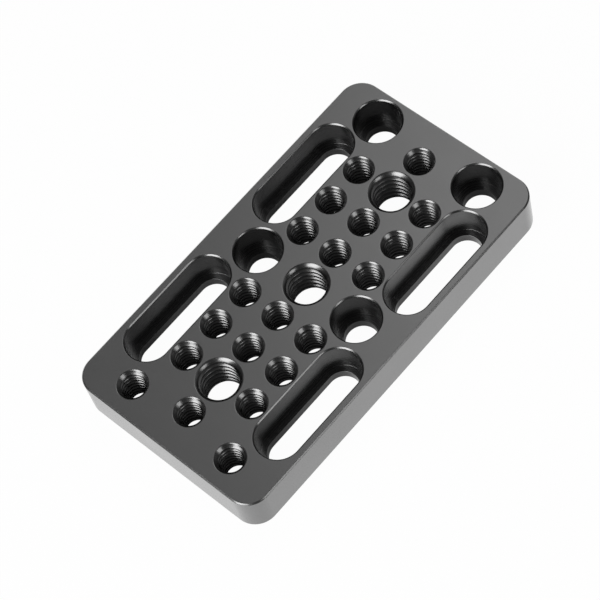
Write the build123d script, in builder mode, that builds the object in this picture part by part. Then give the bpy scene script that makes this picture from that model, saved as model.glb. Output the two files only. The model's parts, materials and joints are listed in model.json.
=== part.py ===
from build123d import *
import os
from math import sqrt

# A machined aluminium mounting plate: one solid block with a grid of tapped holes,
# four pockets for cap screws and four stepped slots.
# Millimetres. The origin is the middle of the underside, X runs along the plate,
# Y across it, and Z points out of the face that the screw pockets open to.

# Blank
plate_thickness = 10.0
corner_radius = 5.0
edge_chamfer = 0.3          # outer edges, pocket mouths and slot mouths

# Grid that the tapped holes stand on
hole_pitch = 9.0
middle_row_small = (1, 2, 4)    # columns with a small thread in the middle row, either way from the centre
side_row_small = (1, 2, 3)      # columns with a small thread in the rows beside it
middle_row_large = 3            # column with a large thread, besides the one in the centre
end_margin = 9.0                # last column of the grid to the end of the plate

# Threads, cut here at their tapping size
small_thread_major = 6.35       # 1/4 inch, 20 threads per inch
small_tap_drill = 5.1
large_thread_major = 9.525      # 3/8 inch, 16 threads per inch
large_tap_drill = 7.94
mouth_margin = 0.5              # a mouth on top is this much wider than its thread; underneath it is as wide
mouth_angle = 90.0

# Pockets for the heads of cap screws
clearance_diameter = 7.1
pocket_diameter = 10.4
ledge_thickness = 2.4           # what is left under a screw's head, in pockets and slots
pocket_row = 1.5 * hole_pitch   # from the plate's long centre line
end_wall = 1.0                  # end of the plate to the mouth of a pocket

# Stepped slots
slot_width = 7.1
slot_pocket_width = 10.0
thread_to_slot_wall = 0.275     # side row of threads to the mouth of a slot
slot_side_wall = 1.45           # mouth of a slot to the long side of the plate
slot_to_middle_pocket = 1.1
slot_to_end_pocket = 0.4
slot_to_end_thread = 1.8

# Radii of the mouths, with their chamfers
small_mouth_radius = (small_thread_major + mouth_margin) / 2
large_mouth_radius = (large_thread_major + mouth_margin) / 2
pocket_mouth_radius = pocket_diameter / 2 + edge_chamfer
slot_mouth_radius = slot_pocket_width / 2 + edge_chamfer

# Outline, as large as the rows and columns need
side_row = hole_pitch
slot_row = side_row + small_mouth_radius + thread_to_slot_wall + slot_mouth_radius
plate_width = 2 * (slot_row + slot_mouth_radius + slot_side_wall)
plate_length = 2 * (max(middle_row_small) * hole_pitch + end_margin)
end_column = plate_length / 2 - end_wall - pocket_mouth_radius


def slot_end_from(neighbour_radius, wall):
    """Distance along X between a slot's end centre and the neighbour that stops it:
    their centres are one slot radius, one wall and one neighbour radius apart."""
    apart = slot_mouth_radius + wall + neighbour_radius
    return sqrt(apart**2 - (slot_row - pocket_row) ** 2)


slot_inner_end = slot_end_from(pocket_mouth_radius, slot_to_middle_pocket)
slot_right_end = end_column - slot_end_from(pocket_mouth_radius, slot_to_end_pocket)
slot_left_end = end_column - slot_end_from(small_mouth_radius, slot_to_end_thread)

# Hole centres
small_threads = [(side * column * hole_pitch, 0) for column in middle_row_small for side in (-1, 1)]
small_threads += [
    (side * column * hole_pitch, row * side_row)
    for column in side_row_small
    for side in (-1, 1)
    for row in (-1, 1)
]
small_threads += [(-end_column, row * pocket_row) for row in (-1, 1)]
large_threads = [(column * hole_pitch, 0) for column in (-middle_row_large, 0, middle_row_large)]
pockets = [(x, row * pocket_row) for x in (0, end_column) for row in (-1, 1)]

top = Plane.XY.offset(plate_thickness)
underside = Plane(origin=(0, 0, 0), x_dir=(1, 0, 0), z_dir=(0, 0, -1))
pocket_depth = plate_thickness - ledge_thickness


def slot_outlines(width):
    """The four slots at one width. The pair beside the end pockets is the shorter one."""
    for inner, outer in ((slot_inner_end, slot_right_end), (-slot_inner_end, -slot_left_end)):
        middle = (inner + outer) / 2
        with Locations((middle, slot_row), (middle, -slot_row)):
            SlotCenterToCenter(abs(outer - inner), width)


with BuildPart() as plate:
    with BuildSketch():
        RectangleRounded(plate_length, plate_width, corner_radius)
    extrude(amount=plate_thickness)

    # Slots: a wide pocket down to the ledge, and a narrow slot through it
    with BuildSketch(top):
        slot_outlines(slot_pocket_width)
    extrude(amount=-pocket_depth, mode=Mode.SUBTRACT)
    with BuildSketch(top):
        slot_outlines(slot_width)
    extrude(amount=-plate_thickness, mode=Mode.SUBTRACT)

    # Screw pockets
    with Locations(top):
        with Locations(*pockets):
            CounterBoreHole(clearance_diameter / 2, pocket_diameter / 2, pocket_depth)

    # Edges: the outline and every mouth on top, and the outline underneath
    chamfer(plate.faces().sort_by(Axis.Z)[-1].edges(), edge_chamfer)
    chamfer(plate.faces().sort_by(Axis.Z)[0].outer_wire().edges(), edge_chamfer)

    # Tapped holes, countersunk from both faces
    for face, small_mouth, large_mouth in (
        (top, small_mouth_radius, large_mouth_radius),
        (underside, small_thread_major / 2, large_thread_major / 2),
    ):
        with Locations(face):
            with Locations(*small_threads):
                CounterSinkHole(small_tap_drill / 2, small_mouth, counter_sink_angle=mouth_angle)
            with Locations(*large_threads):
                CounterSinkHole(large_tap_drill / 2, large_mouth, counter_sink_angle=mouth_angle)

plate.part.label = "plate"
os.makedirs("parts", exist_ok=True)
export_step(plate.part, "parts/plate.step")
print("plate", plate_length, "x", round(plate_width, 3), "x", plate_thickness)
print("slot ends", round(slot_inner_end, 2), round(slot_right_end, 2), round(slot_left_end, 2))
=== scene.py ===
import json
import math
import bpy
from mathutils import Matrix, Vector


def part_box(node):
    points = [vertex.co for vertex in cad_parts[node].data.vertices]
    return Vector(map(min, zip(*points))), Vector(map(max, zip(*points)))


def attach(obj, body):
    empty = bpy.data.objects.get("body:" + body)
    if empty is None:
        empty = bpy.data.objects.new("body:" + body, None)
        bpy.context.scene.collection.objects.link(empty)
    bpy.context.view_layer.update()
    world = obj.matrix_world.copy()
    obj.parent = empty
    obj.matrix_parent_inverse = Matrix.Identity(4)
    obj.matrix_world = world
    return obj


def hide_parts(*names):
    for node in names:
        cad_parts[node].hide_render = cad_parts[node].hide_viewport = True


bl_info = {
    "name": "Cheese plate",
    "version": (1, 0, 0),
    "blender": (4, 5, 0),
    "location": "3D View > Sidebar > Plate",
    "description": "A black anodised mounting plate with tapped holes, screw pockets and stepped slots",
    "category": "Add Mesh",
}

import bpy
import numpy as np
from bpy.props import FloatProperty, FloatVectorProperty, IntProperty, PointerProperty
from mathutils import Euler, Matrix, Vector
from mathutils.geometry import delaunay_2d_cdt

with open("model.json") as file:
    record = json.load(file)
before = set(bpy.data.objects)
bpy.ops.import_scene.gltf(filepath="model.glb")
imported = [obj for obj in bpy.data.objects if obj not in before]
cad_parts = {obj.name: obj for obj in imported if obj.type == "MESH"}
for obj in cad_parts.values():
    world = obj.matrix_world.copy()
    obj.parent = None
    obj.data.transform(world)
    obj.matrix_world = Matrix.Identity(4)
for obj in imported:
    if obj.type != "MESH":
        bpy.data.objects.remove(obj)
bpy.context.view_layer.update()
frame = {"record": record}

# Metres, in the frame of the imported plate: X along it, Y across it, Z out of the face with the pockets.
MM = 0.001
INCH = 25.4 * MM
LOW, HIGH = (np.array(corner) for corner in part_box("plate"))
THICKNESS = HIGH[2] - LOW[2]
MOUNTS = {mount["name"]: mount for mount in frame["record"]["mounts"]}

# Material slots of the plate's mesh
FACE, MILLED, TURNED = range(3)

# Threads: the sizes that a small and a large one each have, in the order that tapped_hole takes them, the
# lean of a flank from square, and the flat of the root as a share of the pitch
THREAD_SIZES = ("root", "pitch", "start", "rounding", "engagement", "bevel", "throat", "crest_rows", "steps")
FLANK_LEAN = math.radians(30)
ROOT_FLAT = 1 / 8

# Height that a 45 degree slope gains per unit of its length
DIAGONAL = math.sqrt(0.5)
# Widths in edge roundings: the flat ring round a mouth, the one inside the blank's rim, and what the
# rounding of a bevel's inner corner leaves free of the bevel
MOUTH_RING = 2
RIM_RING = 4
BEVEL_REST = 1.5
# Walls that meet at a larger angle are shaded as an edge.
SHARP_ANGLE = math.radians(30)

# Triangulation of the flat faces, in millimetres: Blender's kind that keeps what lies inside the outline
# and outside the holes, and the distance below which points are one
INSIDE_WITH_HOLES = 2
SAME_POINT = 1e-7

# Noise of the metal: the middle of its range, clouds of tone per metre, the detail of the clouds and of the
# fine noise, what the grain adds to the tone, and how far roughness swings with tone and cutter's marks
NOISE_MIDDLE = 0.5
CLOUD_SCALE = 140
CLOUD_DETAIL = 5
FINE_DETAIL = 2
GRAIN_SHARE = 0.7
TONE_SWING = 0.16
MARK_SWING = 0.2

# Floor: the flat disc's radius and the rings inside it, the curl of the rim and its rows, the columns
# round it, and how far it lies below the plate
FLOOR_RADIUS = 2.4
FLOOR_RINGS = (0.4, 1.2)
FLOOR_CURL = 0.42
CURL_ROWS = 12
FLOOR_COLUMNS = 96
FLOOR_DROP = 0.02 * MM


class PlateSizes(bpy.types.PropertyGroup):
    """Sizes that the hole grid and the blank's box don't give."""

    corner_radius: FloatProperty(
        name="Corner radius", description="Corners of the blank", default=5 * MM, unit="LENGTH"
    )
    chamfer: FloatProperty(
        name="Chamfer", description="Bevel of the outer edges and of the pocket mouths", default=0.3 * MM,
        unit="LENGTH",
    )
    edge_break: FloatProperty(
        name="Edge break", description="Bevel of the narrow openings underneath", default=0.2 * MM,
        unit="LENGTH",
    )
    softness: FloatProperty(
        name="Edge softness", description="Rounding that is left on every machined edge",
        default=0.05 * MM, unit="LENGTH",
    )
    small_root: FloatProperty(
        name="Small root", description="Outer radius of the small thread", default=1 / 4 * INCH / 2,
        unit="LENGTH",
    )
    small_pitch: FloatProperty(
        name="Small pitch", description="Twenty turns to the inch", default=INCH / 20, unit="LENGTH"
    )
    small_start: FloatProperty(
        name="Small start", description="Depth at which the root starts at +X", default=0.46 * MM,
        unit="LENGTH",
    )
    small_rounding: FloatProperty(
        name="Small rounding", description="Rounding of a crest, in flanks", default=0.3
    )
    small_engagement: FloatProperty(
        name="Small engagement", description="Share of the full thread depth that is cut", default=1.0,
        subtype="FACTOR",
    )
    small_bevel: FloatProperty(
        name="Small bevel", description="Width of the shallow bevel round a small mouth on top",
        default=0.1 * MM, unit="LENGTH",
    )
    large_root: FloatProperty(
        name="Large root", description="Outer radius of the large thread", default=3 / 8 * INCH / 2,
        unit="LENGTH",
    )
    large_pitch: FloatProperty(
        name="Large pitch", description="Sixteen turns to the inch", default=INCH / 16, unit="LENGTH"
    )
    large_start: FloatProperty(
        name="Large start", description="Depth at which the root starts at +X", default=-0.05 * MM,
        unit="LENGTH",
    )
    large_rounding: FloatProperty(
        name="Large rounding", description="Rounding of a crest, in flanks", default=0.15
    )
    large_engagement: FloatProperty(
        name="Large engagement", description="Share of the full thread depth that is cut", default=0.8,
        subtype="FACTOR",
    )
    large_bevel: FloatProperty(
        name="Large bevel", description="Width of the shallow bevel round a large mouth on top",
        default=0.22 * MM, unit="LENGTH",
    )
    small_throat: FloatProperty(
        name="Small throat", description="Rounding where a small countersink ends", default=0.12 * MM,
        unit="LENGTH",
    )
    large_throat: FloatProperty(
        name="Large throat", description="Rounding where a large countersink ends", default=0.6 * MM,
        unit="LENGTH",
    )
    small_crest_rows: IntProperty(
        name="Small crest rows", description="Rows on the flat of a crest", default=0
    )
    large_crest_rows: IntProperty(
        name="Large crest rows", description="Rows on the flat of a crest", default=3
    )
    bevel_slope: FloatProperty(
        name="Bevel slope", description="Slope of the shallow bevels", default=math.radians(30),
        unit="ROTATION",
    )
    lead_in: FloatProperty(
        name="Lead-in", description="Depth below the rim over which a thread grows to its full depth",
        default=0.25 * MM, unit="LENGTH",
    )
    mouth_margin: FloatProperty(
        name="Mouth margin", description="How much wider a mouth on top is than its thread",
        default=0.5 * MM, unit="LENGTH",
    )
    pocket_diameter: FloatProperty(
        name="Screw pocket", description="Diameter of the pockets for screw heads", default=10.4 * MM,
        unit="LENGTH",
    )
    slot_pocket_width: FloatProperty(
        name="Slot pocket", description="Width of the slots above their ledge",
        default=10 * MM, unit="LENGTH",
    )
    ledge: FloatProperty(
        name="Ledge", description="Thickness that is left under a screw's head", default=2.4 * MM,
        unit="LENGTH",
    )
    middle_wall: FloatProperty(
        name="Wall to the middle pocket", description="From the mouth of a slot", default=1.1 * MM,
        unit="LENGTH",
    )
    end_pocket_wall: FloatProperty(
        name="Wall to the end pocket", description="From the mouth of a slot",
        default=0.4 * MM, unit="LENGTH",
    )
    end_thread_wall: FloatProperty(
        name="Wall to the end thread", description="From the mouth of a slot",
        default=1.8 * MM, unit="LENGTH",
    )
    small_steps: IntProperty(name="Small steps", description="Columns round a small hole", default=42)
    large_steps: IntProperty(
        name="Large steps", description="Columns round a large hole or pocket", default=72
    )


class PlateFinish(bpy.types.PropertyGroup):
    """Colour and wear of the anodised metal."""

    black: FloatVectorProperty(
        name="Black", description="Anodised colour of the faces", default=(0.1, 0.1, 0.1), subtype="COLOR"
    )
    bore_black: FloatVectorProperty(
        name="Bore black", description="Anodised colour of the cut walls", default=(0.085, 0.085, 0.085),
        subtype="COLOR",
    )
    face_roughness: FloatProperty(
        name="Face roughness", description="Blasted outer faces", default=0.36, subtype="FACTOR"
    )
    cut_roughness: FloatProperty(
        name="Cut roughness", description="Milled and turned walls", default=0.27, subtype="FACTOR"
    )
    coat_roughness: FloatProperty(
        name="Coat roughness", description="Sealed oxide coat", default=0.24, subtype="FACTOR"
    )
    coat_ior: FloatProperty(
        name="Coat IOR", description="Index of refraction of the oxide coat", default=1.6
    )
    grain_scale: FloatProperty(
        name="Grain scale", description="Grains of the etched skin per metre", default=9000
    )
    face_grain: FloatProperty(
        name="Face grain", description="Height of the grain on the faces",
        default=0.004 * MM, unit="LENGTH",
    )
    cut_grain: FloatProperty(
        name="Cut grain", description="Height of the grain on the cut walls", default=0.002 * MM,
        unit="LENGTH",
    )
    milled_rings: FloatProperty(
        name="Milled rings", description="Marks of the mill per metre", default=7000
    )
    turned_rings: FloatProperty(
        name="Turned rings", description="Marks of drill and tap per metre", default=12000
    )
    ring_height: FloatProperty(
        name="Ring height", description="Height of the cutter's marks", default=0.004 * MM, unit="LENGTH"
    )


class StudioSettings(bpy.types.PropertyGroup):
    """Floor, lamps and camera."""

    floor: FloatVectorProperty(
        name="Floor", description="Colour of the floor", default=(0.86, 0.86, 0.86), subtype="COLOR"
    )
    glow: FloatProperty(
        name="Floor glow", description="Share of plain white in what the camera sees of the floor",
        default=0.97,
    )
    # Painted shade: a darker floor colour that only the metal sees, under the plate and further off
    painted_shade_floor: FloatVectorProperty(
        name="Dim floor", description="Colour of the floor where the metal sees it shaded",
        default=(0.38, 0.38, 0.38), subtype="COLOR",
    )
    reach: FloatProperty(
        name="Reach", description="How far beside the plate the metal sees a bright floor",
        default=55 * MM, unit="LENGTH",
    )
    # Painted light: a pool of the floor's white that the metal sees under the front edge, taken up under the
    # middle of the slots, and a small even share under the whole plate
    painted_leak: FloatProperty(
        name="Leak", description="Share of the bright floor that the metal sees under the front edge",
        default=0.36,
    )
    under: FloatProperty(
        name="Under", description="Share of the bright floor that the metal sees anywhere under the plate",
        default=0.03,
    )
    slot_middle: FloatProperty(
        name="Slot middle", description="Gain of the leak under the middle of a slot", default=1.5
    )
    slot_edge: FloatProperty(
        name="Slot edge", description="Gain of the leak away from the slots", default=0.7
    )
    leak_fall: FloatProperty(
        name="Leak fall", description="How steeply the leak falls again toward the end at +X", default=4
    )
    slot_fall: FloatProperty(
        name="Slot fall", description="Distance over which a gain of one is lost beside a slot's middle",
        default=2.7 * MM, unit="LENGTH",
    )
    surroundings: FloatVectorProperty(
        name="Surroundings", description="Light of the dim room", default=(0.1, 0.1, 0.1), subtype="COLOR"
    )
    azimuth: FloatProperty(
        name="Azimuth", description="Camera's place round the plate", default=math.radians(-32.377),
        unit="ROTATION",
    )
    elevation: FloatProperty(
        name="Elevation", description="Camera's height above the floor", default=math.radians(60.321),
        unit="ROTATION",
    )
    roll: FloatProperty(
        name="Roll", description="Camera's turn about its own axis", default=math.radians(-18.617),
        unit="ROTATION",
    )
    aim: FloatVectorProperty(
        name="Aim", description="Point that the camera looks at", default=(-2.0 * MM, 1.05 * MM, 5 * MM),
        unit="LENGTH",
    )
    distance: FloatProperty(
        name="Distance", description="Camera to the point that it looks at", default=0.4813, unit="LENGTH"
    )
    lens: FloatProperty(name="Lens", description="Focal length in millimetres", default=140.4)
    sensor: FloatProperty(name="Sensor", description="Width of the sensor in millimetres", default=36)


def centres(name):
    """Hole centres of a mount: half its spacing from its middle, each way along X and along Y."""
    mount = MOUNTS[name]
    steps = [mount["dims"].get(f"spacing_{axis}_mm", 0) * MM / 2 for axis in "xy"]
    signs = [(-1, 1) if step else (0,) for step in steps]
    return [
        (mount["pos_m"][0] + a * steps[0], mount["pos_m"][1] + b * steps[1])
        for a in signs[0]
        for b in signs[1]
    ]


def bore_radius(name):
    """Radius of a mount's holes."""
    dims = MOUNTS[name]["dims"]
    return dims.get("hole_r_mm", dims.get("r_mm")) * MM


def loop(corners, steps, guard=0.0):
    """Arc centres and outward angles of a closed loop, counter-clockwise. A corner keeps its centre while
    the angle turns through its share of the full turn. Where there are several corners, each also has a
    column one guard length out on the straight run to either side."""
    if len(corners) == 1:
        angles = np.arange(steps) * 2 * math.pi / steps
        return np.repeat(np.array(corners, float), steps, axis=0), angles
    share = 2 * math.pi / len(corners)
    start = -math.pi / 2 if len(corners) == 2 else 0.0
    turn = np.linspace(0, share, steps // len(corners) + 1)
    angles = start + share * np.arange(len(corners))[:, None] + np.r_[turn[0], turn, turn[-1]][None]
    shift = np.zeros(angles.shape)
    shift[:, 0], shift[:, -1] = -guard, guard
    tangent = np.stack([-np.sin(angles), np.cos(angles)], axis=-1)
    places = np.array(corners)[:, None] + shift[..., None] * tangent
    return places.reshape(-1, 2), angles.ravel()


def carried(profile, places, angles):
    """Profile of (radius, height) rows carried round a loop: point = arc centre + radius (cos angle, sin
    angle), at the row's height."""
    radius, height = np.asarray(profile).T
    outward = np.stack([np.cos(angles), np.sin(angles)], axis=-1)
    flat = places[None] + radius[:, None, None] * outward[None]
    level = np.broadcast_to(height[:, None, None], (*flat.shape[:2], 1))
    return np.concatenate([flat, level], axis=2)


def softened(corners, reach, steps=3):
    """Profile with each inner corner c rounded. From a point a, one reach before it, to a point b, one
    reach after it, runs the curve (1-t)^2 a + 2t(1-t) c + t^2 b, with t from 0 to 1. Each corner may have
    its own reach."""
    corners = np.array(corners, float)
    c = corners[1:-1]
    back, on = corners[:-2] - c, corners[2:] - c
    a = c + back * (reach / np.linalg.norm(back, axis=1))[:, None]
    b = c + on * (reach / np.linalg.norm(on, axis=1))[:, None]
    t = np.linspace(0, 1, steps + 1)[None, :, None]
    curve = (1 - t) ** 2 * a[:, None] + 2 * t * (1 - t) * c[:, None] + t**2 * b[:, None]
    return np.concatenate([corners[:1], curve.reshape(-1, 2), corners[-1:]])


class Shell:
    """One closed mesh, gathered from walls and the two flat faces that join their first and last rows."""

    def __init__(self):
        self.points, self.cut, self.quads, self.slots = [], [], [], []
        self.count = 0
        self.top, self.bottom = [], []

    def add_points(self, points, cut=None):
        """Adds points and returns their numbers. cut is how far down the wall they lie, else their depth."""
        numbers = self.count + np.arange(points[..., 0].size).reshape(points.shape[:-1])
        self.points.append(points.reshape(-1, 3))
        self.cut.append((HIGH[2] - points[..., 2] if cut is None else cut).ravel())
        self.count += numbers.size
        return numbers

    def add_wall(self, points, slot_of_row):
        """Grid of points whose columns run round a loop. Each cell is a quad, and the last column meets
        the first."""
        steps = np.linalg.norm(np.diff(points, axis=0), axis=2)
        cut = np.concatenate([np.zeros((1, points.shape[1])), np.cumsum(steps, axis=0)])
        numbers = self.add_points(points, cut)
        nxt = np.roll(numbers, -1, axis=1)
        quads = np.stack([numbers[:-1], nxt[:-1], nxt[1:], numbers[1:]], axis=-1)
        self.quads.append(quads.reshape(-1, 4))
        self.slots.append(np.repeat(slot_of_row, points.shape[1]))
        return numbers

    def mesh(self, name):
        """Flat faces by constrained triangulation between the loops, walls as they were gathered."""
        points, quads, slot = (np.concatenate(rows) for rows in (self.points, self.quads, self.slots))
        # A cell with two corners in one point is a triangle, and one with two such pairs is left out.
        left, right = quads[:, 0] == quads[:, 3], quads[:, 1] == quads[:, 2]
        faces, slots = [], []
        kinds = (
            (~left & ~right, [0, 1, 2, 3]),
            (left & ~right, [0, 1, 2]),
            (right & ~left, [0, 1, 3]),
        )
        for kept, corners in kinds:
            faces += quads[kept][:, corners].tolist()
            slots.append(slot[kept])
        smooth = len(faces)
        for loops, order in ((self.top, 1), (self.bottom, -1)):
            numbers = np.concatenate(loops)
            ends = np.cumsum([len(ring) for ring in loops])
            rings = [list(range(end - len(ring), end)) for ring, end in zip(loops, ends)]
            flat = [Vector(place) for place in (points[numbers, :2] / MM).tolist()]
            made = delaunay_2d_cdt(flat, [], rings, INSIDE_WITH_HOLES, SAME_POINT)
            triangles, sources = made[2], made[3]
            origin = numbers[[source[0] for source in sources]]
            faces += [origin[list(triangle)][::order].tolist() for triangle in triangles]
            slots.append(np.full(len(triangles), FACE))
        mesh = bpy.data.meshes.new(name)
        mesh.from_pydata(points.tolist(), [], faces)
        mesh.polygons.foreach_set("material_index", np.concatenate(slots).astype(np.int32))
        mesh.polygons.foreach_set("use_smooth", np.arange(len(faces)) < smooth)
        mesh.attributes.new("cut", "FLOAT", "POINT").data.foreach_set("value", np.concatenate(self.cut))
        mesh.validate()
        return mesh


def blank_rim(shell, sizes):
    """Outer wall of the blank: a side with a chamfer at each end, carried round four rounded corners."""
    radius, chamfer, rest = sizes.corner_radius, sizes.chamfer, RIM_RING * sizes.softness
    inner_x, inner_y = HIGH[0] - radius, HIGH[1] - radius
    corners = [(inner_x, inner_y), (-inner_x, inner_y), (-inner_x, -inner_y), (inner_x, -inner_y)]
    side = [
        (radius - chamfer - rest, LOW[2]),
        (radius - chamfer, LOW[2]),
        (radius, LOW[2] + chamfer),
        (radius, HIGH[2] - chamfer),
        (radius - chamfer, HIGH[2]),
        (radius - chamfer - rest, HIGH[2]),
    ]
    places, angles = loop(corners, 2 * sizes.large_steps, guard=rest)
    profile = softened(side, sizes.softness)
    numbers = shell.add_wall(carried(profile, places, angles), np.full(len(profile) - 1, FACE))
    shell.bottom.insert(0, numbers[0])
    shell.top.insert(0, numbers[-1])


def stepped_opening(shell, sizes, corners, pocket, bore):
    """Pocket or stepped slot: chamfered mouth, wall down to the ledge, ledge, and a narrow way through."""
    chamfer, edge, rest = sizes.chamfer, sizes.edge_break, MOUTH_RING * sizes.softness
    ledge = LOW[2] + sizes.ledge
    side = [
        (pocket + chamfer + rest, HIGH[2]),
        (pocket + chamfer, HIGH[2]),
        (pocket, HIGH[2] - chamfer),
        (pocket, ledge),
        (bore, ledge),
        (bore, LOW[2] + edge),
        (bore + edge, LOW[2]),
        (bore + edge + rest, LOW[2]),
    ]
    places, angles = loop(corners, sizes.large_steps, guard=rest)
    profile = softened(side, sizes.softness)
    numbers = shell.add_wall(carried(profile, places, angles), np.full(len(profile) - 1, MILLED))
    shell.top.append(numbers[0])
    shell.bottom.append(numbers[-1])


def thread_rows(depth, pitch, rounding, crest_rows):
    """Places of a thread's rows, half the width of its root's flat and the width of a flank, all in
    pitches from the middle of the root. A flank is as wide as the depth times the tangent of its lean.
    Rows stand at the flat's edge and at a crest's corner, and one rounding, a share of the flank, before
    and after that corner. The crest's own rows are spread evenly over its flat."""
    half_root = ROOT_FLAT / 2
    flank = depth * math.tan(FLANK_LEAN) / pitch
    ends = [half_root] + [half_root + flank * (1 + side * rounding) for side in (-1, 0, 1)]
    crest = np.linspace(ends[-1], 1 - ends[-1], crest_rows + 2)[1:-1]
    return np.array([*ends, *crest, *(1 - end for end in reversed(ends))]), half_root, flank


def tapped_hole(shell, sizes, centre, crest, thread):
    """Tapped hole with a countersink at each end. Round the axis, at angle a and height z, the wall stands
    at the larger of two radii, the thread's and the countersinks'.

    Thread: a trapezium of z less pitch times a over a full turn, from the crest out to a root that stands
    the cut share of the way to the outer radius. Its corners at the crest are rounded: with u the share of
    the flank up from the corner and e the rounding, the share of the depth is (u+e)^2 / 4e between u = -e
    and u = e. Below the bevel on top the depth grows in proportion over the lead-in. The rows of the grid
    climb with the thread, so its root stays sharp.

    Countersinks: a 45 degree cone at either end, rounded where it meets the crest's cylinder: with o the
    cone's radius less the crest's and r the throat, the wall stands (o+r)^2 / 4r outside the crest between
    o = -r and o = r. The mouth on top has a shallow bevel, and the rounding of its inner corner takes most
    of the bevel."""
    major, pitch, start, rounding, engagement, bevel, throat, crest_rows, steps = thread
    root = crest + (major - crest) * engagement
    fractions, half_root, flank = thread_rows(root - crest, pitch, rounding, crest_rows)
    soft, drop = sizes.softness, bevel * math.tan(sizes.bevel_slope)
    crown = math.hypot(bevel, drop) - BEVEL_REST * soft
    rim = major + sizes.mouth_margin / 2
    top_mouth, bottom_mouth = rim - bevel + drop, major
    upper, lower = HIGH[2] - drop - crown * DIAGONAL, LOW[2] + soft * DIAGONAL
    # One turn more at either end covers the climb of the rows.
    turns = math.ceil(THICKNESS / pitch) + 2
    down = (np.arange(turns)[:, None] + fractions - 1).ravel() * pitch + start
    angles = np.arange(steps) * 2 * math.pi / steps
    climb = pitch * angles / (2 * math.pi)

    def thread_radius(z):
        """Radius of the thread at heights z."""
        across = np.abs((((HIGH[2] - start + climb[None] - z) / pitch + 0.5) % 1.0) - 0.5)
        up = np.clip((half_root + flank - across) / flank, -rounding, 1)
        grown = np.clip((upper - z) / sizes.lead_in, 0, 1)
        share = np.where(up > rounding, up, (up + rounding) ** 2 / (4 * rounding))
        return crest + (root - crest) * grown * share

    def cone_radius(z):
        """Radius of the countersinks and of the crest's cylinder between them at heights z."""
        over = np.maximum(top_mouth - (HIGH[2] - z), bottom_mouth - (z - LOW[2])) - crest
        return crest + np.where(over > throat, over, (np.maximum(over, -throat) + throat) ** 2 / (4 * throat))

    z = HIGH[2] + climb[None] - down[:, None]
    # The row nearest to each place where the thread runs out into a cone is moved onto it.
    ahead = thread_radius(z) - cone_radius(z)
    crossed = ahead[:-1] * ahead[1:] < 0
    share = np.where(crossed, ahead[:-1] / np.where(crossed, ahead[:-1] - ahead[1:], 1), 0)
    run_out = z[:-1] + share * (z[1:] - z[:-1])
    z[:-1] = np.where(crossed & (share < 0.5), run_out, z[:-1])
    z[1:] = np.where(crossed & (share >= 0.5), run_out, z[1:])
    z = np.clip(z, lower, upper)
    z = np.where(upper - z < soft / 2, upper, np.where(z - lower < soft / 2, lower, z))
    radius = np.maximum(thread_radius(z), cone_radius(z))

    outward = np.stack([np.cos(angles), np.sin(angles)], axis=-1)
    places = np.repeat([centre], steps, axis=0)
    rest = MOUTH_RING * soft
    top_side = [
        (rim + rest, HIGH[2]),
        (rim, HIGH[2]),
        (rim - bevel, HIGH[2] - drop),
        (rim - bevel - crown, HIGH[2] - drop - crown),
    ]
    bottom_side = [(major + rest, LOW[2]), (major, LOW[2]), (major - rest, LOW[2] + rest)]
    lips = softened(top_side, np.array([soft, crown])), softened(bottom_side, soft)
    mouths = [carried(lip[:-1], places, angles) for lip in lips]
    bore = np.concatenate([np.asarray(centre) + radius[..., None] * outward, z[..., None]], axis=2)

    first, last = shell.add_points(mouths[0]), shell.add_points(mouths[1][::-1])
    inside = (z < upper) & (z > lower)
    numbers = np.where(z >= upper, first[-1][None], last[0][None])
    numbers[inside] = shell.add_points(bore[inside])
    # One turn on, a row of the last column meets the row one pitch further up in the first column.
    per_turn = len(fractions)
    wrapped = np.concatenate([np.repeat(first[-1][:1], per_turn), numbers[:-per_turn, 0]])
    nxt = np.concatenate([numbers[:, 1:], wrapped[:, None]], axis=1)
    quads = np.stack([numbers[:-1], nxt[:-1], nxt[1:], numbers[1:]], axis=-1)
    shell.quads.append(quads.reshape(-1, 4))
    shell.slots.append(np.full(quads[..., 0].size, TURNED))
    for rows in (first, last):
        around = np.roll(rows, -1, axis=1)
        quads = np.stack([rows[:-1], around[:-1], around[1:], rows[1:]], axis=-1)
        shell.quads.append(quads.reshape(-1, 4))
        shell.slots.append(np.full(quads[..., 0].size, TURNED))
    shell.top.append(first[0])
    shell.bottom.append(last[-1])


def slot_corners(sizes):
    """Arc centres of the four slots. A slot's end and its neighbour are apart by both mouths' radii and a
    wall. That distance is the long side of a right triangle whose short sides are the rows' distance,
    along Y, and the distance along X."""
    mouth = sizes.slot_pocket_width / 2 + sizes.chamfer
    pocket_mouth = sizes.pocket_diameter / 2 + sizes.chamfer
    thread_mouth = sizes.small_root + sizes.mouth_margin / 2
    row = max(y for x, y in centres("slots"))
    end_x, pocket_row = max(centres("screw_pockets"))

    def apart(neighbour, wall):
        """Distance along X from a slot's end to a neighbour with that mouth radius."""
        return math.sqrt((mouth + wall + neighbour) ** 2 - (row - pocket_row) ** 2)

    inner = apart(pocket_mouth, sizes.middle_wall)
    right = end_x - apart(pocket_mouth, sizes.end_pocket_wall)
    left = end_x - apart(thread_mouth, sizes.end_thread_wall)
    return [
        [(high, side * row), (low, side * row)]
        for low, high in ((inner, right), (-left, -inner))
        for side in (-1, 1)
    ]


def new_group(name, inputs, outputs):
    """Empty shader node group with named sockets, and its input and output nodes."""
    group = bpy.data.node_groups.new(name, "ShaderNodeTree")
    for label, kind, value in inputs:
        socket = group.interface.new_socket(label, in_out="INPUT", socket_type=kind)
        socket.default_value = value
    for label, kind in outputs:
        group.interface.new_socket(label, in_out="OUTPUT", socket_type=kind)
    return group, group.nodes.new("NodeGroupInput"), group.nodes.new("NodeGroupOutput")


def math_node(tree, operation, first, second):
    """Math node on two values, each a socket or a number."""
    node = tree.nodes.new("ShaderNodeMath")
    node.operation = operation
    for socket, value in zip(node.inputs, (first, second)):
        if isinstance(value, (int, float)):
            socket.default_value = value
        else:
            tree.links.new(value, socket)
    return node.outputs[0]


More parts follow.
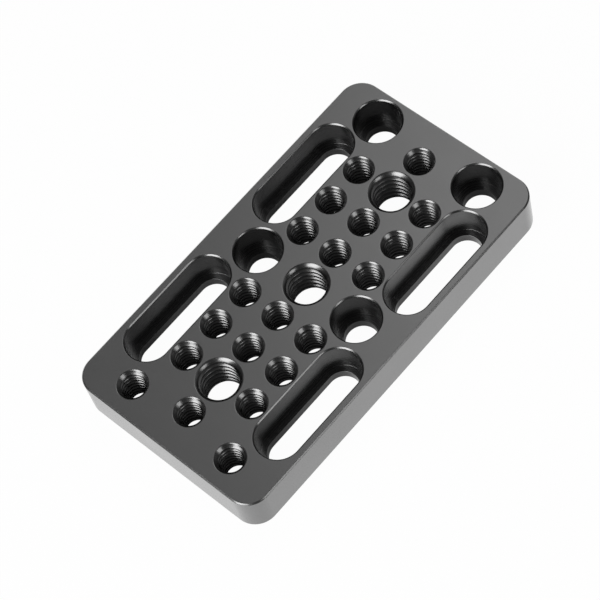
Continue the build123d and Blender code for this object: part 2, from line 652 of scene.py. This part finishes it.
def anodised_grain():
    """Etched grain of the anodised skin and its slow change of tone, on Object coordinates."""
    group, given, made = new_group(
        "anodised_grain",
        [
            ("Colour", "NodeSocketColor", (0.1, 0.1, 0.1, 1)),
            ("Roughness", "NodeSocketFloat", 0.35),
            ("Grain scale", "NodeSocketFloat", 9000.0),
            ("Mottle", "NodeSocketFloat", 0.15),
        ],
        [("Colour", "NodeSocketColor"), ("Roughness", "NodeSocketFloat"), ("Height", "NodeSocketFloat")],
    )
    place = group.nodes.new("ShaderNodeTexCoord")
    grain = group.nodes.new("ShaderNodeTexNoise")
    grain.inputs["Detail"].default_value = FINE_DETAIL
    cloud = group.nodes.new("ShaderNodeTexNoise")
    cloud.inputs["Scale"].default_value = CLOUD_SCALE
    cloud.inputs["Detail"].default_value = CLOUD_DETAIL
    for noise in (grain, cloud):
        group.links.new(place.outputs["Object"], noise.inputs["Vector"])
    group.links.new(given.outputs["Grain scale"], grain.inputs["Scale"])
    uneven = math_node(group, "SUBTRACT", cloud.outputs["Fac"], NOISE_MIDDLE)
    speckle = math_node(group, "SUBTRACT", grain.outputs["Fac"], NOISE_MIDDLE)
    tone = math_node(group, "ADD", uneven, math_node(group, "MULTIPLY", speckle, GRAIN_SHARE))
    tone = math_node(group, "ADD", math_node(group, "MULTIPLY", tone, given.outputs["Mottle"]), 1)
    tint = group.nodes.new("ShaderNodeVectorMath")
    tint.operation = "SCALE"
    group.links.new(given.outputs["Colour"], tint.inputs[0])
    group.links.new(tone, tint.inputs["Scale"])
    group.links.new(tint.outputs[0], made.inputs["Colour"])
    rough = math_node(group, "MULTIPLY", uneven, TONE_SWING)
    group.links.new(math_node(group, "ADD", rough, given.outputs["Roughness"]), made.inputs["Roughness"])
    group.links.new(grain.outputs["Fac"], made.inputs["Height"])
    return group


def cutter_marks():
    """Rings that a cutter leaves, as noise of the distance down the wall, and their shade."""
    group, given, made = new_group(
        "cutter_marks",
        [("Distance", "NodeSocketFloat", 0.0), ("Rings per metre", "NodeSocketFloat", 9000.0)],
        [("Height", "NodeSocketFloat"), ("Shade", "NodeSocketFloat")],
    )
    rings = group.nodes.new("ShaderNodeTexNoise")
    rings.noise_dimensions = "1D"
    rings.inputs["Scale"].default_value = 1
    rings.inputs["Detail"].default_value = FINE_DETAIL
    along = math_node(group, "MULTIPLY", given.outputs["Distance"], given.outputs["Rings per metre"])
    group.links.new(along, rings.inputs["W"])
    group.links.new(rings.outputs["Fac"], made.inputs["Height"])
    shade = math_node(group, "SUBTRACT", rings.outputs["Fac"], NOISE_MIDDLE)
    group.links.new(shade, made.inputs["Shade"])
    return group


def anodised(name, groups, finish, colour, roughness, grain_height, rings=0):
    """Black anodised aluminium: a dark metal under a clear, slightly satin oxide coat. A cut wall also has
    rings, so many per metre."""
    material = bpy.data.materials.new(name)
    material.use_nodes = True
    tree = material.node_tree
    shader = tree.nodes["Principled BSDF"]
    shader.inputs["Metallic"].default_value = 1.0
    shader.inputs["Coat Weight"].default_value = 1.0
    shader.inputs["Coat IOR"].default_value = finish.coat_ior
    shader.inputs["Coat Roughness"].default_value = finish.coat_roughness
    skin = tree.nodes.new("ShaderNodeGroup")
    skin.node_tree = groups["grain"]
    skin.inputs["Colour"].default_value = (*colour, 1)
    skin.inputs["Roughness"].default_value = roughness
    skin.inputs["Grain scale"].default_value = finish.grain_scale
    tree.links.new(skin.outputs["Colour"], shader.inputs["Base Color"])
    etched = tree.nodes.new("ShaderNodeBump")
    etched.inputs["Strength"].default_value = 1.0
    etched.inputs["Distance"].default_value = grain_height
    tree.links.new(skin.outputs["Height"], etched.inputs["Height"])
    tree.links.new(etched.outputs["Normal"], shader.inputs["Normal"])
    if not rings:
        tree.links.new(skin.outputs["Roughness"], shader.inputs["Roughness"])
        return material
    distance = tree.nodes.new("ShaderNodeAttribute")
    distance.attribute_name = "cut"
    marks = tree.nodes.new("ShaderNodeGroup")
    marks.node_tree = groups["marks"]
    marks.inputs["Rings per metre"].default_value = rings
    tree.links.new(distance.outputs["Fac"], marks.inputs["Distance"])
    turned = tree.nodes.new("ShaderNodeBump")
    turned.inputs["Strength"].default_value = 1.0
    turned.inputs["Distance"].default_value = finish.ring_height
    tree.links.new(marks.outputs["Height"], turned.inputs["Height"])
    tree.links.new(etched.outputs["Normal"], turned.inputs["Normal"])
    tree.links.new(turned.outputs["Normal"], shader.inputs["Normal"])
    uneven = math_node(tree, "MULTIPLY", marks.outputs["Shade"], MARK_SWING)
    tree.links.new(math_node(tree, "ADD", uneven, skin.outputs["Roughness"]), shader.inputs["Roughness"])
    return material


class PLATE_OT_machined_plate(bpy.types.Operator):
    """Machine the plate: blank, pockets, stepped slots and tapped holes in one closed mesh"""

    bl_idname = "plate.machined_plate"
    bl_label = "Machined plate"

    def execute(self, context):
        sizes, finish = context.scene.plate_sizes, context.scene.plate_finish
        shell = Shell()
        blank_rim(shell, sizes)
        for centre in centres("screw_pockets"):
            stepped_opening(shell, sizes, [centre], sizes.pocket_diameter / 2, bore_radius("screw_pockets"))
        for corners in slot_corners(sizes):
            stepped_opening(shell, sizes, corners, sizes.slot_pocket_width / 2, bore_radius("slots"))
        small_bore = bore_radius("end_threads")
        for name in MOUNTS:
            if "thread" not in name:
                continue
            size = "small" if bore_radius(name) == small_bore else "large"
            thread = [getattr(sizes, f"{size}_{part}") for part in THREAD_SIZES]
            for centre in centres(name):
                tapped_hole(shell, sizes, centre, bore_radius(name), thread)
        mesh = shell.mesh("machined_plate")
        mesh.set_sharp_from_angle(angle=SHARP_ANGLE)
        plate = bpy.data.objects.new("machined_plate", mesh)
        context.scene.collection.objects.link(plate)
        weighted = plate.modifiers.new("Even shading", "WEIGHTED_NORMAL")
        weighted.keep_sharp = True
        groups = {"grain": anodised_grain(), "marks": cutter_marks()}
        outer = finish.black, finish.face_roughness, finish.face_grain
        wall = finish.bore_black, finish.cut_roughness, finish.cut_grain
        # In the order of the material slots
        mesh.materials.append(anodised("anodised_face", groups, finish, *outer))
        mesh.materials.append(anodised("anodised_milled", groups, finish, *wall, finish.milled_rings))
        mesh.materials.append(anodised("anodised_turned", groups, finish, *wall, finish.turned_rings))
        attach(plate, "root")
        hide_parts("plate")
        return {"FINISHED"}


def softbox(name, toward, distance, width, height, radiance, lean=0):
    """Area lamp that faces the plate from one side, given as azimuth and elevation in degrees. It is
    turned about the way it faces by lean, in degrees. Its power is radiance times pi times its area."""
    lamp = bpy.data.lights.new(name, "AREA")
    lamp.shape = "RECTANGLE"
    lamp.size, lamp.size_y = width, height
    lamp.energy = radiance * math.pi * width * height
    box = bpy.data.objects.new(name, lamp)
    azimuth, elevation = (math.radians(angle) for angle in toward)
    level = math.cos(elevation)
    out = Vector((math.cos(azimuth) * level, math.sin(azimuth) * level, math.sin(elevation)))
    facing = out.to_track_quat("Z", "Y").to_matrix() @ Matrix.Rotation(math.radians(lean), 3, "Z")
    box.matrix_world = Matrix.Translation(out * distance) @ facing.to_4x4()
    box.visible_camera = False
    bpy.context.scene.collection.objects.link(box)


class PLATE_OT_studio(bpy.types.Operator):
    """Set up the pale floor, the softboxes, the dim room and the camera"""

    bl_idname = "plate.studio"
    bl_label = "Studio"

    def execute(self, context):
        studio = context.scene.plate_studio
        self.floor(studio)
        self.room(context, studio)
        # The left one is what the countersinks and the thread flanks mirror.
        softbox("left_softbox", (184, 30.5), distance=0.8, width=0.56, height=0.56, radiance=6.6, lean=32)
        softbox("front_softbox", (-84, 27), distance=0.8, width=0.32, height=0.25, radiance=3.4)
        softbox("back_softbox", (62, 58), distance=1.0, width=1.0, height=0.8, radiance=0.33)
        softbox("right_softbox", (19, 52), distance=1.0, width=0.63, height=0.75, radiance=1.22)
        softbox("low_softbox", (-15, 36), distance=1.0, width=1.1, height=0.58, radiance=0.3)
        self.camera(context, studio)
        return {"FINISHED"}

    def floor(self, studio):
        """Round sheet whose rim curls up: radius and height follow a quarter circle outside the flat disc."""
        turn = np.linspace(0, math.pi / 2, CURL_ROWS)
        radius = np.r_[FLOOR_RINGS, FLOOR_RADIUS + FLOOR_CURL * np.sin(turn)]
        height = np.r_[np.zeros(len(FLOOR_RINGS)), FLOOR_CURL * (1 - np.cos(turn))] - FLOOR_DROP
        places, angles = loop([(0, 0)], FLOOR_COLUMNS)
        points = carried(np.c_[radius, height], places, angles).reshape(-1, 3)
        points = np.concatenate([points, [[0, 0, -FLOOR_DROP]]])
        numbers = np.arange(len(radius) * FLOOR_COLUMNS).reshape(-1, FLOOR_COLUMNS)
        nxt = np.roll(numbers, -1, axis=1)
        quads = np.stack([numbers[:-1], numbers[1:], nxt[1:], nxt[:-1]], axis=-1).reshape(-1, 4)
        middle = np.stack([numbers[0], nxt[0], np.full(FLOOR_COLUMNS, len(points) - 1)], axis=-1)
        mesh = bpy.data.meshes.new("floor")
        mesh.from_pydata(points.tolist(), [], quads.tolist() + middle.tolist())
        mesh.polygons.foreach_set("use_smooth", np.ones(len(mesh.polygons), bool))
        floor = bpy.data.objects.new("floor", mesh)
        bpy.context.scene.collection.objects.link(floor)
        mesh.materials.append(self.pale_floor(studio))

    def pale_floor(self, studio):
        """Floor's material: nearly white to the camera, and to the metal bright or dim by place: painted
        shade under the plate and further off, and pools of painted light under it.
        """
        material = bpy.data.materials.new("pale_floor")
        material.use_nodes = True
        tree = material.node_tree
        tree.nodes.remove(tree.nodes["Principled BSDF"])
        # dim is painted shade: the darker floor that the metal mirrors under the plate and further off
        matte, dim = (tree.nodes.new("ShaderNodeBsdfDiffuse") for _ in range(2))
        matte.inputs["Color"].default_value = (*studio.floor, 1)
        dim.inputs["Color"].default_value = (*studio.painted_shade_floor, 1)
        white = tree.nodes.new("ShaderNodeEmission")
        path = tree.nodes.new("ShaderNodeLightPath")
        glossy = path.outputs["Is Glossy Ray"]
        # bright is the share of white that the metal sees: the bright floor beside the plate, and painted
        # light under it
        bright = self.painted_floor_light(tree, studio, bpy.context.scene.plate_sizes.corner_radius)
        # What the metal mirrors: bright floor beside the plate, and under it and further off a floor with
        # painted shade, with pools of painted light under the plate.
        shaded = tree.nodes.new("ShaderNodeMixShader")
        away = math_node(tree, "MULTIPLY", glossy, math_node(tree, "SUBTRACT", 1, bright))
        tree.links.new(away, shaded.inputs["Fac"])
        tree.links.new(matte.outputs[0], shaded.inputs[1])
        tree.links.new(dim.outputs[0], shaded.inputs[2])
        mirrored = math_node(tree, "MULTIPLY", glossy, bright)
        seen = math_node(tree, "MAXIMUM", path.outputs["Is Camera Ray"], mirrored)
        seen = math_node(tree, "MAXIMUM", seen, path.outputs["Is Transmission Ray"])
        both = tree.nodes.new("ShaderNodeMixShader")
        tree.links.new(math_node(tree, "MULTIPLY", seen, studio.glow), both.inputs["Fac"])
        tree.links.new(shaded.outputs[0], both.inputs[1])
        tree.links.new(white.outputs[0], both.inputs[2])
        tree.links.new(both.outputs[0], tree.nodes["Material Output"].inputs["Surface"])
        return material

    def painted_floor_light(self, tree, studio, corner_radius):
        """Share of the floor's white that the metal sees, with painted light under the plate. Outside the
        plate it is all, within reach of the
        outline: with q how far a point is past the rectangle of the corners' centres along X and along Y,
        and zero where it isn't, the distance is the length of q less the corner radius. Under the plate it
        is a small even share of painted light, and more in a painted pool of light. That pool grows in
        proportion toward -Y and
        +X, and falls again toward the end at +X. A gain takes it up under the middle of a slot and falls
        in proportion to the distance from it, down to the gain away from the slots."""
        place = tree.nodes.new("ShaderNodeTexCoord")
        apart = tree.nodes.new("ShaderNodeSeparateXYZ")
        tree.links.new(place.outputs["Object"], apart.inputs[0])
        x, y = apart.outputs["X"], apart.outputs["Y"]
        squares = []
        for along, end in ((x, HIGH[0]), (y, HIGH[1])):
            out = math_node(tree, "ABSOLUTE", along, 0)
            out = math_node(tree, "SUBTRACT", out, float(end) - corner_radius)
            out = math_node(tree, "MAXIMUM", out, 0)
            squares.append(math_node(tree, "MULTIPLY", out, out))
        past = math_node(tree, "SQRT", math_node(tree, "ADD", *squares), 0)
        past = math_node(tree, "SUBTRACT", past, corner_radius)
        near = math_node(tree, "LESS_THAN", past, studio.reach)
        beside = math_node(tree, "GREATER_THAN", past, 0)
        # Painted pool of light under the front edge, growing toward +X and taken up under the slots
        frontward = math_node(tree, "MAXIMUM", math_node(tree, "DIVIDE", y, float(LOW[1])), 0)
        rightward = math_node(tree, "DIVIDE", x, float(HIGH[0]))
        short_of_end = math_node(tree, "SUBTRACT", 1, rightward)
        short_of_end = math_node(tree, "MULTIPLY", short_of_end, studio.leak_fall)
        growing = math_node(tree, "MINIMUM", math_node(tree, "ADD", rightward, 1), short_of_end)
        painted_leak = math_node(tree, "MULTIPLY", math_node(tree, "MULTIPLY", frontward, growing), studio.painted_leak)
        slot_row = max(place[1] for place in centres("slots"))
        off_row = math_node(tree, "SUBTRACT", math_node(tree, "ABSOLUTE", y, 0), slot_row)
        fall = math_node(tree, "DIVIDE", math_node(tree, "ABSOLUTE", off_row, 0), studio.slot_fall)
        gain = math_node(tree, "SUBTRACT", studio.slot_middle, fall)
        gain = math_node(tree, "MAXIMUM", gain, studio.slot_edge)
        painted_leak = math_node(tree, "ADD", math_node(tree, "MULTIPLY", painted_leak, gain), studio.under)
        return math_node(tree, "MULTIPLY", near, math_node(tree, "MAXIMUM", beside, painted_leak))

    def room(self, context, studio):
        """Even, dim light from all round."""
        world = bpy.data.worlds.new("dim_room")
        world.use_nodes = True
        world.node_tree.nodes["Background"].inputs["Color"].default_value = (*studio.surroundings, 1)
        context.scene.world = world

    def camera(self, context, studio):
        """Camera on a sphere round the plate's middle, looking at it."""
        camera = bpy.data.cameras.new("camera")
        camera.lens, camera.sensor_width = studio.lens, studio.sensor
        holder = bpy.data.objects.new("camera", camera)
        back = Vector(
            (
                math.sin(studio.azimuth) * math.cos(studio.elevation),
                -math.cos(studio.azimuth) * math.cos(studio.elevation),
                math.sin(studio.elevation),
            )
        )
        holder.matrix_world = (
            Matrix.Translation(Vector(studio.aim) + back * studio.distance)
            @ (-back).to_track_quat("-Z", "Y").to_matrix().to_4x4()
            @ Euler((0, 0, studio.roll)).to_matrix().to_4x4()
        )
        context.scene.collection.objects.link(holder)
        context.scene.camera = holder


class PLATE_PT_panel(bpy.types.Panel):
    """Sidebar panel that lists the operators and the sizes"""

    bl_idname = "PLATE_PT_panel"
    bl_label = "Cheese plate"
    bl_space_type = "VIEW_3D"
    bl_region_type = "UI"
    bl_category = "Plate"

    def draw(self, context):
        for group in (context.scene.plate_sizes, context.scene.plate_finish, context.scene.plate_studio):
            box = self.layout.box()
            for name in group.__annotations__:
                box.prop(group, name)
        for operator in OPERATORS:
            self.layout.operator(operator.bl_idname)


OPERATORS = (PLATE_OT_machined_plate, PLATE_OT_studio)
CLASSES = (PlateSizes, PlateFinish, StudioSettings, *OPERATORS, PLATE_PT_panel)


def register():
    """Registers the classes and hangs the settings on the scene."""
    for cls in CLASSES:
        bpy.utils.register_class(cls)
    bpy.types.Scene.plate_sizes = PointerProperty(type=PlateSizes)
    bpy.types.Scene.plate_finish = PointerProperty(type=PlateFinish)
    bpy.types.Scene.plate_studio = PointerProperty(type=StudioSettings)


def unregister():
    """Takes away what register made."""
    del bpy.types.Scene.plate_sizes, bpy.types.Scene.plate_finish, bpy.types.Scene.plate_studio
    for cls in reversed(CLASSES):
        bpy.utils.unregister_class(cls)


def main():
    """Builds the scene with the add-on's own operators."""
    register()
    bpy.context.scene.view_settings.view_transform = "Standard"
    bpy.ops.plate.machined_plate()
    bpy.ops.plate.studio()


if __name__ == "__main__":
    main()
